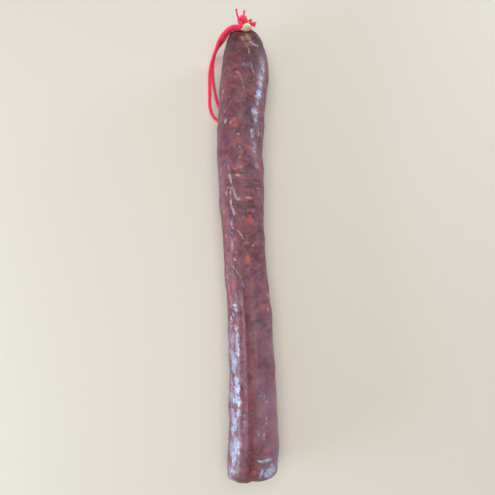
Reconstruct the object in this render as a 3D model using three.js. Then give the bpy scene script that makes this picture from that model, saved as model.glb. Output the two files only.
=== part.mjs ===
// A long cured sausage in its natural casing, lying on its side, tied off at one end with red string.
// Millimetres. The length runs along Y with the tied end at +Y, and Z is up.
// The origin is the middle of the underside, so the sausage rests on the plane z = 0.

import * as THREE from "three";

const DEGREE = Math.PI / 180;

// The body from the blunt end to the shoulder of the tied end. Each row is the place along Y,
// the sideways place of the middle line, the width and the height. The middle line bends
// like a slack S, and the girth has a waist near the middle, as drying leaves it.
const BODY = [
  { along: -201, aside: 5.5, width: 45.4, height: 40.0 },
  { along: -176, aside: 6.4, width: 45.2, height: 41.0 },
  { along: -131, aside: 5.4, width: 42.8, height: 40.4 },
  { along: -86, aside: 3.8, width: 41.6, height: 40.0 },
  { along: -51, aside: 1.2, width: 41.0, height: 39.6 },
  { along: -9, aside: -2.2, width: 39.8, height: 38.8 },
  { along: 24, aside: -4.0, width: 42.0, height: 40.0 },
  { along: 59, aside: -5.5, width: 44.8, height: 42.0 },
  { along: 94, aside: -6.3, width: 45.4, height: 43.2 },
  { along: 131, aside: -5.1, width: 46.6, height: 44.2 },
  { along: 165, aside: -1.8, width: 48.2, height: 45.2 },
];
const RESTING_SINK = 1.0; // the round belly is flattened by this much where it rests

// The blunt lower end is a low pillow: squarish from above, round from the side.
const BLUNT = { length: 14, squareness: 5, roundness: 2.6, droop: 0.14, slant: 0.1 };
const LEAN = { from: -189, full: -219 }; // where the slant of the blunt end fades in

// The tied end is a dome whose tip rises a little and leans aside, ending in a thin neck. From
// above it has broad shoulders, where the gathered casing bulges on both sides of the neck.
const DOME = { length: 48.2, squareness: 1.8, roundness: 1.8, rise: 5.5, tilt: 25, riseBend: 5.6, lastAngle: 79 };
const SHOULDERS = { share: 0.47, squareness: 10, aside: -4.2, asideBend: 8.7 };
const NECK_ASIDE = 0.3;
const STRAIGHTEN = { from: 159, full: 199 }; // sections stop turning with the bend of the body here

// Past the tie the spare casing stands up and folds forward over the string as a pale stub.
// Tilt is the way the middle line points in the upright plane: 0 is along Y, 90 is straight up.
const NECK = [
  { along: 213.2, up: 27.9, width: 9.4, height: 6.2, tilt: 48 },
  { along: 213.9, up: 29.8, width: 6.2, height: 5.4, tilt: 70 },
  { along: 214.2, up: 32.2, width: 4.7, height: 4.7, tilt: 88 },
  { along: 213.8, up: 33.9, width: 5.8, height: 4.9, tilt: 110 },
  { along: 212.5, up: 35.5, width: 7.6, height: 5.0, tilt: 134 },
  { along: 210.8, up: 36.4, width: 9.2, height: 5.6, tilt: 158 },
  { along: 209.0, up: 36.5, width: 10.0, height: 5.8, tilt: 178 },
];
const STUB_TIP = { along: 206.9, up: 36.0, tilt: 190 };

// Low relief of the casing in millimetres, outward positive, with angles in degrees round the
// section from the +X side over the top. The lumps are waves along the length that wander with
// the angle. A fold with a flat facet beside it runs down the top of the lower half.
const LUMPS = [
  { depth: 0.32, length: 9.7, phase: 1.3, wander: 2, harmonic: 1 },
  { depth: 0.24, length: 5.9, phase: 0.5, wander: 3, harmonic: 2 },
  { depth: 0.18, length: 3.7, phase: 2.1, wander: 2, harmonic: 3 },
];
const FOLD = { from: 100, half: 40, full: -60 }; // places along Y where it fades in
const FOLD_TURN = { from: -20, to: 95, angleFar: 104, angleNear: 126 };
const CREST = { depth: 0.6, after: 0, spread: 5 };
const VALLEY = { depth: -1.3, after: -13, spread: 9 };
const FACET = { depth: -1.3, after: 42, spread: 17 };
const END_DENT = { depth: -1.6, angle: 88, spread: 17, from: -184, full: -208 };
const PLEATS = { count: 8, depth: 0.45, onNeck: 0.12, phase: 0.6, from: 188, full: 207 };
const FULL_RELIEF_HEIGHT = 6; // sections with less half height than this have weaker relief

// How finely the skin is divided.
const AROUND = 32;
const BODY_STEPS = 56;
const BLUNT_STEPS = 7;
const DOME_STEPS = 14;
const NECK_STEPS = 16;
const TIP_STEPS = 5;

// The string.
const STRING = 3.1;
const TIE_STRING = 2.2; // pulled tight round the neck
const TIE = { along: 214.2, up: 32.2, radius: 3.9 };
const KNOT = { aside: -3.4, along: 223.0, up: 30.6, halfWidth: 4.2, halfLength: 4.3, halfHeight: 3.6 };

// The loop leaves the tie as two strands side by side, drops past the dome, lies on the
// surface, and turns back under the curve of the sausage. One route, there and back.
const LOOP_ROUTE = [
  [-5.2, 212.1, 34.3], [-10.0, 212.3, 34.9], [-14.3, 212.1, 34.4], [-19.3, 211.0, 31.6],
  [-24.2, 209.5, 26.4], [-28.1, 207.5, 21.0], [-30.5, 204.7, 16.6], [-32.9, 201.4, 12.4],
  [-35.8, 196.2, 8.2], [-38.1, 190.0, 5.2], [-39.4, 182.3, 3.2], [-39.7, 170.6, 1.9],
  [-39.5, 159.3, 1.7], [-39.3, 148.1, 1.7], [-37.6, 139.8, 1.7], [-34.7, 134.4, 1.7],
  [-30.6, 131.0, 1.7], [-26.0, 130.3, 1.7], [-22.0, 133.3, 1.7], [-21.3, 138.2, 1.7],
  [-24.6, 141.8, 1.7], [-28.3, 144.3, 1.7], [-30.8, 149.4, 1.7], [-32.6, 155.9, 1.7],
  [-34.1, 162.9, 1.7], [-35.5, 171.2, 1.7], [-36.2, 179.7, 1.7], [-36.4, 186.4, 1.8],
  [-36.2, 192.8, 2.4], [-35.0, 198.9, 4.4], [-33.0, 203.1, 7.8], [-30.2, 206.4, 11.5],
  [-26.5, 208.3, 15.5], [-22.7, 210.0, 19.9], [-19.7, 211.7, 24.8], [-15.8, 213.0, 29.2],
  [-11.0, 213.3, 31.1], [-5.4, 213.5, 31.0],
];
const LOOP_STEPS = 72;
const STRING_SIDES = 8;
const KNOT_HUMPS = { depth: 0.1, count: 3, twist: 4 };

// Four cut ends of string stand out of the knot. Each row is a place and a diameter.
const STRING_ENDS = {
  string_end_left: [
    [-8.4, 225.0, 31.6, 2.2], [-9.4, 227.1, 32.3, 2.2], [-10.0, 229.6, 33.0, 2.0],
    [-10.4, 232.6, 33.5, 2.3],
  ],
  string_end_middle: [
    [-2.8, 228.0, 31.6, 2.0], [-2.5, 229.4, 32.4, 2.0], [-2.3, 231.2, 33.3, 2.2],
  ],
  string_end_right: [
    [1.3, 221.2, 31.6, 1.7], [2.8, 221.2, 31.8, 1.8], [4.1, 221.8, 31.6, 2.9], [5.2, 222.2, 31.4, 2.2],
  ],
  string_end_tuft: [
    [5.0, 217.2, 34.8, 2.4], [6.2, 216.5, 34.8, 3.8], [7.8, 215.9, 34.3, 5.0], [9.2, 215.7, 33.8, 4.2],
  ],
};

const casing = new THREE.MeshStandardMaterial({ color: 0x75434d, roughness: 0.38, metalness: 0 });
const string = new THREE.MeshStandardMaterial({ color: 0xcf2349, roughness: 0.85, metalness: 0 });

const smooth = (from, to, value) => THREE.MathUtils.smoothstep((value - from) / (to - from), 0, 1);
const bell = (offset, spread) => Math.exp(-((offset / spread) ** 2));

// How much of the full size is left at share s of the way out to a rounded end.
const rounding = (s, power) => (1 - s ** power) ** (1 / power);

// A uniform Catmull-Rom curve through rows of numbers, evaluated at t from 0 to 1.
function between(rows, t) {
  const spans = rows.length - 1;
  const span = Math.min(Math.floor(t * spans), spans - 1);
  const f = t * spans - span;
  const mirrored = (a, b) => a.map((value, k) => 2 * value - b[k]);
  const p1 = rows[span];
  const p2 = rows[span + 1];
  const p0 = span > 0 ? rows[span - 1] : mirrored(p1, p2);
  const p3 = span < spans - 1 ? rows[span + 2] : mirrored(p2, p1);
  return p1.map((_, k) => 0.5 * (
    2 * p1[k] + (p2[k] - p0[k]) * f
    + (2 * p0[k] - 5 * p1[k] + 4 * p2[k] - p3[k]) * f ** 2
    + (3 * p1[k] - p0[k] - 3 * p2[k] + p3[k]) * f ** 3));
}

// Every section of the skin: its middle, its half width and half height, and its tilt.
function sections() {
  const list = [];
  const add = (aside, along, up, halfWidth, halfHeight, tilt) =>
    list.push({ middle: new THREE.Vector3(aside, along, up), halfWidth, halfHeight, tilt });

  const first = BODY[0];
  const last = BODY[BODY.length - 1];
  for (let i = BLUNT_STEPS; i > 0; i--) {
    const s = Math.sin((i / (BLUNT_STEPS + 1)) * 90 * DEGREE);
    const wide = first.width * rounding(s, BLUNT.squareness);
    const tall = first.height * rounding(s, BLUNT.roundness);
    const up = (first.height / 2 - RESTING_SINK) * (1 - BLUNT.droop * (1 - tall / first.height));
    add(first.aside, first.along - BLUNT.length * s, up, wide / 2, tall / 2, 0);
  }
  const rows = BODY.map((row) => [row.aside, row.along, row.width, row.height]);
  for (let i = 0; i < BODY_STEPS; i++) {
    const [aside, along, width, height] = between(rows, i / (BODY_STEPS - 1));
    add(aside, along, height / 2 - RESTING_SINK, width / 2, height / 2, 0);
  }
  for (let i = 1; i <= DOME_STEPS; i++) {
    const s = Math.sin((i / DOME_STEPS) * DOME.lastAngle * DEGREE);
    const width = THREE.MathUtils.lerp(
      rounding(s, DOME.squareness), rounding(s, SHOULDERS.squareness), SHOULDERS.share);
    add(
      THREE.MathUtils.lerp(last.aside, SHOULDERS.aside, s ** SHOULDERS.asideBend),
      last.along + DOME.length * s,
      last.height / 2 - RESTING_SINK + DOME.rise * s ** DOME.riseBend,
      last.width / 2 * width,
      last.height / 2 * rounding(s, DOME.roundness),
      DOME.tilt * s ** DOME.riseBend);
  }
  const end = list[list.length - 1];
  const neck = [
    [end.middle.x, end.middle.y, end.middle.z, end.halfWidth, end.halfHeight, end.tilt],
    ...NECK.map((row) => [NECK_ASIDE, row.along, row.up, row.width / 2, row.height / 2, row.tilt]),
  ];
  for (let i = 1; i <= NECK_STEPS; i++) {
    add(...between(neck, i / NECK_STEPS));
  }
  const root = list[list.length - 1];
  for (let i = 1; i < TIP_STEPS; i++) {
    const angle = (i / TIP_STEPS) * 90 * DEGREE;
    const share = Math.sin(angle);
    add(
      NECK_ASIDE,
      THREE.MathUtils.lerp(root.middle.y, STUB_TIP.along, share),
      THREE.MathUtils.lerp(root.middle.z, STUB_TIP.up, share),
      root.halfWidth * Math.cos(angle),
      root.halfHeight * Math.cos(angle),
      THREE.MathUtils.lerp(root.tilt, STUB_TIP.tilt, share));
  }
  return list;
}

// Outward relief of the casing at a place along the length and an angle round the section.
function relief(along, angle, section) {
  const pleats = Math.cos(PLEATS.count * angle + PLEATS.phase);
  if (section.tilt > DOME.tilt) return PLEATS.onNeck * pleats;
  const degrees = angle / DEGREE;
  const shoulder = BODY[BODY.length - 1].along;
  const onBody = 1 - smooth(shoulder, shoulder + DOME.length, along);
  let out = PLEATS.depth * smooth(PLEATS.from, PLEATS.full, along) * pleats;
  for (const wave of LUMPS) {
    const wander = wave.wander * Math.sin(wave.harmonic * angle + wave.phase);
    out += wave.depth * Math.sin(along / wave.length + wander) * onBody;
  }
  const strength = (smooth(FOLD.from, FOLD.half, along) + smooth(FOLD.half, FOLD.full, along)) / 2;
  const turning = smooth(FOLD_TURN.from, FOLD_TURN.to, along);
  const crest = THREE.MathUtils.lerp(FOLD_TURN.angleFar, FOLD_TURN.angleNear, turning);
  for (const part of [CREST, VALLEY, FACET]) {
    out += part.depth * bell(degrees - crest - part.after, part.spread) * strength;
  }
  const atEnd = smooth(END_DENT.from, END_DENT.full, along);
  return out + END_DENT.depth * bell(degrees - END_DENT.angle, END_DENT.spread) * atEnd;
}

// The ring of points of one section. The blunt end leans with its slant, and nothing goes
// below the resting plane, which leaves a narrow flat strip along the belly.
function sectionRing(section, index, list) {
  const before = list[Math.max(index - 1, 0)].middle;
  const after = list[Math.min(index + 1, list.length - 1)].middle;
  const onBody = 1 - smooth(STRAIGHTEN.from, STRAIGHTEN.full, section.middle.y);
  const turn = Math.atan2(after.x - before.x, Math.abs(after.y - before.y)) * onBody;
  const right = new THREE.Vector3(Math.cos(turn), -Math.sin(turn), 0);
  const up = new THREE.Vector3(0, -Math.sin(section.tilt * DEGREE), Math.cos(section.tilt * DEGREE));
  const atEnd = 1 - smooth(LEAN.full, LEAN.from, section.middle.y);
  return Array.from({ length: AROUND }, (_, j) => {
    const angle = (j / AROUND) * 2 * Math.PI;
    const out = relief(section.middle.y, angle, section)
      * Math.min(1, section.halfHeight / FULL_RELIEF_HEIGHT);
    const point = section.middle.clone()
      .addScaledVector(right, (section.halfWidth + out) * Math.cos(angle))
      .addScaledVector(up, (section.halfHeight + out) * Math.sin(angle));
    point.y += BLUNT.slant * (point.x - BODY[0].aside) * atEnd;
    point.z = Math.max(point.z, 0);
    return point;
  });
}

// A closed skin through rings of equal count, with a point at each end.
function closedSkin(rings, firstPole, lastPole) {
  const around = rings[0].length;
  const points = [...rings.flat(), firstPole, lastPole];
  const firstIndex = rings.length * around;
  const lastRing = (rings.length - 1) * around;
  const faces = [];
  for (let j = 0; j < around; j++) {
    const next = (j + 1) % around;
    for (let i = 0; i < rings.length - 1; i++) {
      const here = i * around;
      const there = here + around;
      faces.push(here + j, there + j, there + next, here + j, there + next, here + next);
    }
    faces.push(firstIndex, j, next, firstIndex + 1, lastRing + next, lastRing + j);
  }
  const geometry = new THREE.BufferGeometry();
  const numbers = points.flatMap((p) => p.toArray());
  geometry.setAttribute("position", new THREE.Float32BufferAttribute(numbers, 3));
  geometry.setIndex(faces);
  geometry.computeVertexNormals();
  return geometry;
}

function sausageGeometry() {
  const list = sections();
  const rings = list.map(sectionRing);
  const bluntPole = new THREE.Vector3(BODY[0].aside, BODY[0].along - BLUNT.length, list[0].middle.z);
  const stubPole = new THREE.Vector3(NECK_ASIDE, STUB_TIP.along, STUB_TIP.up);
  return closedSkin(rings, bluntPole, stubPole);
}

// The knot is a tight lump of crossing turns, modelled as a ball with low humps.
function knotGeometry() {
  const geometry = new THREE.SphereGeometry(1, 20, 14);
  const position = geometry.attributes.position;
  const p = new THREE.Vector3();
  for (let i = 0; i < position.count; i++) {
    p.fromBufferAttribute(position, i);
    const round = Math.atan2(p.y, p.x);
    const wave = Math.sin(KNOT_HUMPS.count * round + KNOT_HUMPS.twist * p.z);
    const hump = 1 + KNOT_HUMPS.depth * ((1 - p.z ** 2) * wave - 0.5);
    p.set(p.x * KNOT.halfWidth, p.y * KNOT.halfLength, p.z * KNOT.halfHeight).multiplyScalar(hump);
    position.setXYZ(i, p.x, p.y, p.z);
  }
  return geometry;
}

function loopGeometry() {
  const path = new THREE.CatmullRomCurve3(LOOP_ROUTE.map((p) => new THREE.Vector3(...p)));
  const section = new THREE.Shape(Array.from({ length: STRING_SIDES }, (_, j) => {
    const angle = (j / STRING_SIDES) * 2 * Math.PI;
    return new THREE.Vector2(Math.cos(angle), Math.sin(angle)).multiplyScalar(STRING / 2);
  }));
  return new THREE.ExtrudeGeometry(section, { steps: LOOP_STEPS, bevelEnabled: false, extrudePath: path });
}

// A short end of string, swept through its places with its own diameter at each.
function stringEndGeometry(rows) {
  const steps = 2 * (rows.length - 1);
  const places = Array.from({ length: steps + 1 }, (_, i) => between(rows, i / steps));
  const at = (i) => new THREE.Vector3(...places[i].slice(0, 3));
  const rings = places.map((place, i) => {
    const way = at(Math.min(i + 1, steps)).sub(at(Math.max(i - 1, 0))).normalize();
    const side = new THREE.Vector3().crossVectors(way, new THREE.Vector3(0, 0, 1)).normalize();
    const over = new THREE.Vector3().crossVectors(side, way);
    return Array.from({ length: STRING_SIDES }, (_, j) => {
      const angle = (j / STRING_SIDES) * 2 * Math.PI;
      return at(i)
        .addScaledVector(side, place[3] / 2 * Math.cos(angle))
        .addScaledVector(over, place[3] / 2 * Math.sin(angle));
    });
  });
  const overshoot = (i, neighbour) => at(i).add(at(i).sub(at(neighbour)).multiplyScalar(0.3));
  return closedSkin(rings, overshoot(0, 1), overshoot(steps, steps - 1));
}

function named(name, geometry, material) {
  const mesh = new THREE.Mesh(geometry, material);
  mesh.name = name;
  return mesh;
}

const curedSausage = new THREE.Group();
curedSausage.add(named("sausage", sausageGeometry(), casing));

const ring = new THREE.TorusGeometry(TIE.radius, TIE_STRING / 2, STRING_SIDES, 28);
const tie = named("neck_tie", ring, string);
tie.position.set(NECK_ASIDE, TIE.along, TIE.up);
curedSausage.add(tie);

const knot = named("loop_knot", knotGeometry(), string);
knot.position.set(KNOT.aside, KNOT.along, KNOT.up);
curedSausage.add(knot);

curedSausage.add(named("hanging_loop", loopGeometry(), string));
for (const [name, rows] of Object.entries(STRING_ENDS)) {
  curedSausage.add(named(name, stringEndGeometry(rows), string));
}

export default curedSausage;
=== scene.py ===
# %% [markdown]
# # A long cured sausage with its hanging string
#
# The real object is a dried pork sausage, 433 mm long, in a natural casing. Its upper end is tied
# off with red string, the spare casing stands up past the tie as a pale stub, and a loop of the
# same string lies beside it. The frame of plain solids holds every real size. This lesson gives it
# its looks: a fine skin worked out with numpy, string that is really twisted, and finishes made of
# nodes. Lengths are written in millimetres and turned into metres by one factor.

# %% Load the frame
import math

import bpy
import numpy as np
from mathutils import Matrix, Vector


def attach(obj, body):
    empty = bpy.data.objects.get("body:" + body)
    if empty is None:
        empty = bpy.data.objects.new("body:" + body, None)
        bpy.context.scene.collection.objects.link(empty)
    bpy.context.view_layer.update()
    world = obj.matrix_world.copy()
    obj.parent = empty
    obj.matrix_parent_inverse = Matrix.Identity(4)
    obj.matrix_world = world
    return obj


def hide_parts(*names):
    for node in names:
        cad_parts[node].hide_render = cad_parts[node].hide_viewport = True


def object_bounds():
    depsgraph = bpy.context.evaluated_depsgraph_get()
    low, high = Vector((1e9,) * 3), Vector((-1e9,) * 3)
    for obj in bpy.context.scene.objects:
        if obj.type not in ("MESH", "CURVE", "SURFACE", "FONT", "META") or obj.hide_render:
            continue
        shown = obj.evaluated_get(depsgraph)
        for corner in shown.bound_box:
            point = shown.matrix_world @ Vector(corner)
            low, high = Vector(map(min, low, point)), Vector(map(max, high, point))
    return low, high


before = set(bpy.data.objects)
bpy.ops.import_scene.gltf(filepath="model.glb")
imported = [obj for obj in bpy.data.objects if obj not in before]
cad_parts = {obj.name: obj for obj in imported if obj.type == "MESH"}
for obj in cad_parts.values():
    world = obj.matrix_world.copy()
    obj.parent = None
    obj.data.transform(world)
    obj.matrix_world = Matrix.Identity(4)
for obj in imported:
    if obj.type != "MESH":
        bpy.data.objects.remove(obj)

MM = 0.001
cad_low, cad_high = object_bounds()
cad_size = (cad_high - cad_low) / MM
print("frame nodes:", sorted(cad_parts))
print("CAD box in mm:", [round(side, 1) for side in cad_size])

# %% [markdown]
# ## The camera
#
# The photograph was taken 375 mm above the floor, with a phone's wide lens tilted a little towards
# the tied end. From so near, the sausage's ends look farther away than its middle, so the camera's
# place matters as much as its angle. A focal length in pixels, set against the sensor's width,
# gives the lens length.

# %% Camera
EYE = np.array([0.9, -48.5, 375]) * MM
TILT = math.radians(6.8)
FOCAL_PX, FRAME_PX, SENSOR_WIDTH = 372.0, 495.0, 36.0

scene = bpy.context.scene
camera_data = bpy.data.cameras.new("photo_camera")
camera_data.sensor_width = SENSOR_WIDTH
camera_data.lens = SENSOR_WIDTH * FOCAL_PX / FRAME_PX
camera = bpy.data.objects.new("photo_camera", camera_data)
camera.location = EYE
camera.rotation_euler = (TILT, 0, 0)
scene.collection.objects.link(camera)
scene.camera = camera
scene.view_settings.view_transform = "Standard"
print("lens", round(camera_data.lens, 2), "mm")

# %% [markdown]
# ## Grids become meshes
#
# Every new piece is a grid of points: rings, one after another, each a closed round of points. One
# helper joins neighbouring rings with four-sided faces and closes each end with a fan, or joins the
# last ring to the first. Another puts the arrays into a mesh object that rides with the frame's
# only body.

# %% Mesh helpers
def ring_faces(rings, around, closed=False):
    """Faces between rings of equal count: each ring's side j to j+1 is joined to the next ring."""
    i = np.arange(rings if closed else rings - 1)[:, None]
    j = np.arange(around)[None, :]
    here = i * around
    there = (i + 1) % rings * around
    after = (j + 1) % around
    return np.stack([here + j, there + j, there + after, here + after], axis=-1).reshape(-1, 4)


def skin(grid, *poles):
    """Points and faces of a grid of rings, with a fan to a pole at each end if given."""
    rings, around = grid.shape[:2]
    quads = ring_faces(rings, around, closed=not poles)
    points = grid.reshape(-1, 3)
    if not poles:
        return points, quads, np.empty((0, 3), int)
    j = np.arange(around)
    after = (j + 1) % around
    end = (rings - 1) * around
    front = np.stack([np.full(around, len(points)), j, after], axis=-1)
    back = np.stack([np.full(around, len(points) + 1), end + after, end + j], axis=-1)
    return np.vstack([points, *poles]), quads, np.vstack([front, back])


def join(parts):
    """Several (points, quads, fans) as one."""
    points, *faces = zip(*parts)
    shift = np.cumsum([0] + [len(some) for some in points[:-1]])
    quads, fans = (np.vstack([some + by for some, by in zip(kind, shift)]) for kind in faces)
    return np.vstack(points), quads, fans


def piece(name, parts, replaced, attributes):
    """A smooth mesh object from points in mm, riding with the frame."""
    points, quads, fans = parts
    mesh = bpy.data.meshes.new(name)
    mesh.from_pydata((points * MM).tolist(), [], quads.tolist() + fans.tolist())
    mesh.shade_smooth()
    for key, values in attributes.items():
        kind, field = ("FLOAT_VECTOR", "vector") if values.ndim == 2 else ("FLOAT", "value")
        layer = mesh.attributes.new(key, kind, "POINT")
        layer.data.foreach_set(field, values.astype(np.float32).ravel())
    made = bpy.data.objects.new(name, mesh)
    scene.collection.objects.link(made)
    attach(made, "root")
    if replaced:
        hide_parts(*replaced)
    print(f"{name}: {len(quads) * 2 + len(fans)} triangles")
    return made


# %% [markdown]
# ## Curves through given points
#
# A string follows a few given points. A Catmull-Rom curve passes through all of them:
# between two points it is the cubic whose slope at each is that of the line between the point's
# neighbours. It is then cut into equal steps.

# %% Curve helpers
def spline(rows, count):
    """Catmull-Rom: 0.5 (2b + (c-a)f + (2a-5b+4c-d)f2 + (3b-a-3c+d)f3) on each span b to c."""
    rows = np.asarray(rows, float)
    padded = np.vstack([2 * rows[0] - rows[1], rows, 2 * rows[-1] - rows[-2]])
    t = np.linspace(0, len(rows) - 1, count)
    span = np.minimum(t.astype(int), len(rows) - 2)
    f = (t - span)[:, None]
    a, b, c, d = (padded[span + k] for k in range(4))
    bend = 2 * a - 5 * b + 4 * c - d
    twist = 3 * b - a - 3 * c + d
    return 0.5 * (2 * b + (c - a) * f + bend * f**2 + twist * f**3)


def travel(path):
    """How far along the path each of its points is."""
    return np.append(0, np.cumsum(np.linalg.norm(np.diff(path, axis=0), axis=1)))


def even(rows, count, columns=slice(0, 3)):
    """The same line cut into equal steps over the given columns, and its length."""
    far = travel(rows[:, columns])
    wanted = np.linspace(0, far[-1], count)
    return np.stack([np.interp(wanted, far, column) for column in rows.T], axis=1), far[-1]


def unit(vectors):
    """Each vector divided by its length."""
    return vectors / np.linalg.norm(vectors, axis=-1, keepdims=True)


# %% [markdown]
# ## Twisted string
#
# Kitchen string is three soft yarns twisted round each other. Seen end on, that is three
# overlapping circles. Carrying their outline along the path while it turns once every 7.8 mm gives
# the diagonal ridges of the real thing. Each point also remembers where it is round the twist, as a
# cosine and a sine, and how far along, so that the fibres in the finish can follow the yarn without
# a seam.

# %% The string's surface
LAY = 7.8  # one full turn of the three yarns
YARN_OFFSET = 0.62  # how far the yarns' middles stand out, in yarn radii


def twisted(path, radius, around=30, lay=LAY, closed=False):
    """Rings round the path: radius times the outline of three circles, a full turn every lay."""
    chords = np.roll(path, -1, axis=0) - np.roll(path, 1, axis=0)
    way = unit(chords if closed else np.gradient(path, axis=0))
    side = unit(np.cross(way, [0, 0, 1]))
    over = np.cross(side, way)
    travelled = travel(path)
    if closed:
        length = travelled[-1] + np.linalg.norm(path[0] - path[-1])
        lay = length / round(length / lay)
    angle = np.linspace(0, 2 * np.pi, around, endpoint=False)[None, :]
    phase = angle - 2 * np.pi * travelled[:, None] / lay
    lobe = phase % (2 * np.pi / 3) - np.pi / 3
    outline = YARN_OFFSET * np.cos(lobe) + np.sqrt(1 - (YARN_OFFSET * np.sin(lobe)) ** 2)
    reach = np.broadcast_to(radius, len(path))[:, None] * outline / (1 + YARN_OFFSET)
    grid = path[:, None] + reach[..., None] * (
        side[:, None] * np.cos(angle)[..., None] + over[:, None] * np.sin(angle)[..., None]
    )
    along = np.broadcast_to(travelled[:, None], phase.shape)
    yarn = np.stack([np.cos(phase), np.sin(phase), along], axis=-1)
    return grid, yarn


def string_part(path, radius, **how):
    """Points, faces and yarn places of a string with a closed end at each side of its path."""
    grid, yarn = twisted(path, radius, **how)
    if how.get("closed"):
        return skin(grid), yarn.reshape(-1, 3)
    poles = path[0] * 1.2 - path[1] * 0.2, path[-1] * 1.2 - path[-2] * 0.2
    places = np.vstack([yarn.reshape(-1, 3), [0, 0, 0], [0, 0, yarn[-1, 0, 2]]])
    return skin(grid, *poles), places


def string_piece(name, bits, *replaced):
    """One object of several bits of string, each given as its parts and its yarn places."""
    parts, yarns = zip(*bits)
    return piece(name, join(parts), replaced, {"yarn": np.vstack(yarns)})


# %% [markdown]
# ## The hanging loop
#
# The string was doubled and knotted round the neck, and the loop fell to one side: out from the tie
# as two strands side by side, down past the shoulder with one over the other, then along the floor,
# where they part, and round a bend that the sausage's side hides. Its route was chosen from the
# photograph, and also shaped the plain tube this piece stands for. Towards the tie the string is a
# third thicker.

# %% Loop
STRING = 3.1
PLUMP = 1.06  # makes up for the grooves between the yarns, so the string looks its full thickness
LOOP_ROUTE = [
    [-5.2, 212.1, 34.3], [-10, 212.3, 34.9], [-14.3, 212.1, 34.4], [-19.3, 211, 31.6],
    [-24.2, 209.5, 26.4], [-28.1, 207.5, 21], [-30.5, 204.7, 16.6], [-32.9, 201.4, 12.4],
    [-35.8, 196.2, 8.2], [-38.1, 190, 5.2], [-39.4, 182.3, 3.2], [-39.7, 170.6, 1.9], [-39.5, 159.3, 1.7],
    [-39.3, 148.1, 1.7], [-37.6, 139.8, 1.7], [-34.7, 134.4, 1.7], [-30.6, 131, 1.7], [-26, 130.3, 1.7],
    [-22, 133.3, 1.7], [-21.3, 138.2, 1.7], [-24.6, 141.8, 1.7], [-28.3, 144.3, 1.7], [-30.8, 149.4, 1.7],
    [-32.6, 155.9, 1.7], [-34.1, 162.9, 1.7], [-35.5, 171.2, 1.7], [-36.2, 179.7, 1.7],
    [-36.4, 186.4, 1.8], [-36.2, 192.8, 2.4], [-35, 198.9, 4.4], [-33, 203.1, 7.8], [-30.2, 206.4, 11.5],
    [-26.5, 208.3, 15.5], [-22.7, 210, 19.9], [-19.7, 211.7, 24.8], [-15.8, 213, 29.2],
    [-11, 213.3, 31.1], [-5.4, 213.5, 31],
]
LOOP_RINGS = 1100
TIE_SHARE = 0.16  # the share of the loop, at each end, over which it thickens
THICKER = 0.32
UNEVEN, UNEVEN_PACE = 0.03, 150

loop_path, loop_length = even(spline(LOOP_ROUTE, 4000), LOOP_RINGS)
share = np.linspace(0, 1, LOOP_RINGS)
near_tie = 1 - np.minimum(share, 1 - share) / TIE_SHARE
plump = PLUMP + THICKER * np.sin(np.pi / 2 * near_tie.clip(0, 1)) + UNEVEN * np.sin(share * UNEVEN_PACE)
loop_bits = [string_part(loop_path, plump * STRING / 2)]
hanging_loop = string_piece("hanging_string", loop_bits, "hanging_loop")
print("length of the loop from tie to tie:", round(loop_length, 1), "mm")

# %% [markdown]
# ## Tie and knot
#
# Round the neck the string is pulled so tight that it is thinner: one turn, lying flat. Beside it
# sits the knot. A trefoil curve, the closed form of an overhand knot, gives crossings that look
# tied and not drawn, at (sin t + 2 sin 2t, cos t - 2 cos 2t, -sin 3t), squeezed to the knot's size.
# Two short strands lead from it to the start of the loop, and two more lie across it.

# %% Tie and knot
TIE_STRING, TIE_RADIUS, TIE_LAY = 2.2, 3.9, 6
TIE_AT = np.array([0.3, 214.2, 32.2])
KNOT_AT = np.array([-3.4, 223, 30.6])
KNOT_HALF = np.array([4.2, 4.3, 3.6])
KNOT_STRING = 3.1
KNOT_STRETCH = [1.08, 1.08, 0.75]  # the trefoil doesn't quite fill its own box
STRANDS = [  # the points of each short strand, then its radius
    ([[-7.4, 224.4, 31.6], [-8.1, 221.6, 32.4], [-7.4, 218.2, 33.2], [-6.2, 214.6, 33.8]], 1.4),
    ([[-3.6, 221.8, 31.6], [-4.6, 218.8, 32.2], [-5.4, 216.2, 32], [-5.9, 214, 31.4]], 1.4),
    ([[-5.2, 226, 31.6], [-4.4, 223.8, 33.4], [-2.8, 221.4, 33.2], [-1, 219.6, 31.8]], 1.4),
    ([[-0.8, 225.4, 31], [-2.6, 223.8, 33], [-4.6, 222.2, 32.6], [-6.2, 220.6, 31.6]], 1.35),
]

turn = np.linspace(0, 2 * np.pi, 150, endpoint=False)
flat_circle = np.stack([np.cos(turn), np.sin(turn), 0 * turn], axis=1)
tie_path = TIE_AT + TIE_RADIUS * flat_circle
tie_bits = [string_part(tie_path, TIE_STRING / 2, lay=TIE_LAY, closed=True)]
tie = string_piece("tie_string", tie_bits, "neck_tie")

turn = np.linspace(0, 2 * np.pi, 420, endpoint=False)
trefoil = np.stack([
    (np.sin(turn) + 2 * np.sin(2 * turn)) / 3,
    (np.cos(turn) - 2 * np.cos(2 * turn)) / 3,
    -np.sin(3 * turn),
], axis=1)
knot_room = (KNOT_HALF - KNOT_STRING / 2) * KNOT_STRETCH
knot_bits = [string_part(KNOT_AT + trefoil * knot_room, KNOT_STRING / 2, closed=True)]
knot_bits += [string_part(even(spline(rows, 200), 40)[0], radius) for rows, radius in STRANDS]
knot = string_piece("knot_string", knot_bits, "loop_knot")

# %% [markdown]
# ## Cut ends
#
# Four cut ends stand out of the knot. Two are thin and straight, one ends in a small bead, and one
# has come apart into a tuft. Each follows its few points with its own thickness, and fine fibres
# spray from its tip. A fibre is a three-sided needle that bends evenly: root plus direction times t
# plus droop times t squared.

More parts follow.
